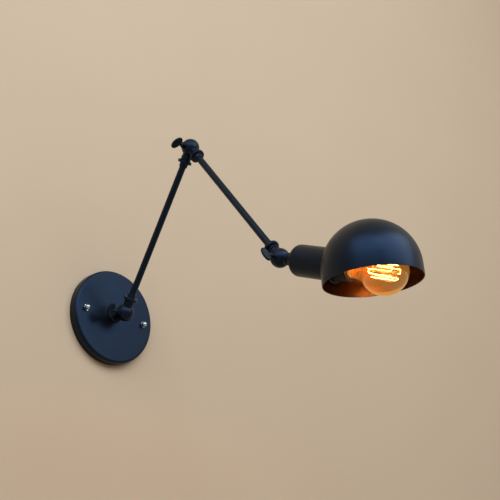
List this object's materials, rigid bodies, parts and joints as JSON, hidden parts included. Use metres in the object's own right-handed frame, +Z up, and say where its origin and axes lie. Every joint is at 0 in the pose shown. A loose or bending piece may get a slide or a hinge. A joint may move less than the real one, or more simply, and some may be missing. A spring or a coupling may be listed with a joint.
{
  "type": "extendable wall lamp",
  "caption": "Wall lamp with a round canopy, jointed tube arms on ball knuckles with thumb screws, and a dome shade on a socket cup that lights a bare round bulb from inside.",
  "frame": {"origin": "middle of the canopy's back on the wall plane, on the axis of the base swivel", "axes": "+Y into the wall, so the lamp stands out towards -Y; +X to the right along the wall; +Z up"},
  "size_m": [0.15, 0.5742, 0.3305],
  "materials": {
    "black_paint": "satin blue-black powder coat",
    "zinc_plate": "zinc-plated steel",
    "bright_chrome": "polished chrome",
    "fibre": "red vulcanised fibre",
    "flex": "black supply flex",
    "phenolic": "black phenolic moulding",
    "brass": "nickel-free pressed brass",
    "clear_glass": "clear bulb glass",
    "black_glass": "black vitrite",
    "solder": "tinned contact",
    "filament_wire": "glowing tungsten wire"
  },
  "bodies": {
    "wall_plate": {"wall_bracket": "zinc_plate", "canopy_studs": "zinc_plate", "canopy": "black_paint", "cap_nuts": "bright_chrome", "base_nipple": "zinc_plate", "base_lock_washer": "zinc_plate", "base_lock_nut": "zinc_plate"},
    "swivel": {"base_seat_ring": "black_paint", "base_knuckle_rear": "black_paint", "base_friction_washer": "fibre"},
    "lower_arm": {"base_knuckle_front": "black_paint", "lower_arm_base_collar": "black_paint", "lower_arm_tube": "black_paint", "lower_arm_flex": "flex", "lower_arm_elbow_collar": "black_paint", "elbow_knuckle_lower": "black_paint", "elbow_friction_washer": "fibre"},
    "upper_arm": {"elbow_knuckle_upper": "black_paint", "upper_arm_elbow_collar": "black_paint", "upper_arm_tube": "black_paint", "upper_arm_flex": "flex", "upper_arm_head_collar": "black_paint", "head_knuckle_arm": "black_paint", "head_friction_washer": "fibre"},
    "lamp_head": {"head_knuckle_lamp": "black_paint", "cup_seat_ring": "black_paint", "cup_nipple": "zinc_plate", "cup_lock_nut": "zinc_plate", "socket_cup": "black_paint", "lampholder_cap": "phenolic", "lampholder_body": "phenolic", "lampholder_ring": "phenolic", "screw_shell": "brass", "centre_contact": "brass", "shade": "black_paint", "bulb_glass": "clear_glass", "bulb_stem": "clear_glass", "bulb_cap": "brass", "bulb_insulator": "black_glass", "bulb_contact": "solder", "filament_supports": "solder", "filament": "filament_wire"},
    "base_screw": {"base_thumb_screw": "black_paint"},
    "elbow_screw": {"elbow_thumb_screw": "black_paint"},
    "head_screw": {"head_thumb_screw": "black_paint"}
  },
  "joints": [
    {"name": "base_swivel", "type": "hinge", "parent": "wall_plate", "child": "swivel", "pos_m": [0, 0, 0], "axis": [0, -1, 0], "range_deg": [-75, 75]},
    {"name": "base_tilt", "type": "hinge", "parent": "swivel", "child": "lower_arm", "pos_m": [0, -0.041, 0], "axis": [-0.9945, 0, -0.1045], "range_deg": [-50, 20]},
    {"name": "elbow_fold", "type": "hinge", "parent": "lower_arm", "child": "upper_arm", "pos_m": [-0.0229, -0.20727, 0.21785], "axis": [-0.9945, 0, -0.1045], "range_deg": [-5, 107]},
    {"name": "head_tilt", "type": "hinge", "parent": "upper_arm", "child": "lamp_head", "pos_m": [0.00053, -0.36657, -0.00509], "axis": [-0.9945, 0, -0.1045], "range_deg": [-55, 45]},
    {"name": "base_screw_turn", "type": "hinge", "parent": "lower_arm", "child": "base_screw", "pos_m": [0, -0.041, 0], "axis": [-0.9945, 0, -0.1045], "range_deg": [0, 180]},
    {"name": "elbow_screw_turn", "type": "hinge", "parent": "upper_arm", "child": "elbow_screw", "pos_m": [-0.0229, -0.20727, 0.21785], "axis": [-0.9945, 0, -0.1045], "range_deg": [0, 180]},
    {"name": "head_screw_turn", "type": "hinge", "parent": "lamp_head", "child": "head_screw", "pos_m": [0.00053, -0.36657, -0.00509], "axis": [-0.9945, 0, -0.1045], "range_deg": [0, 180]}
  ]
}
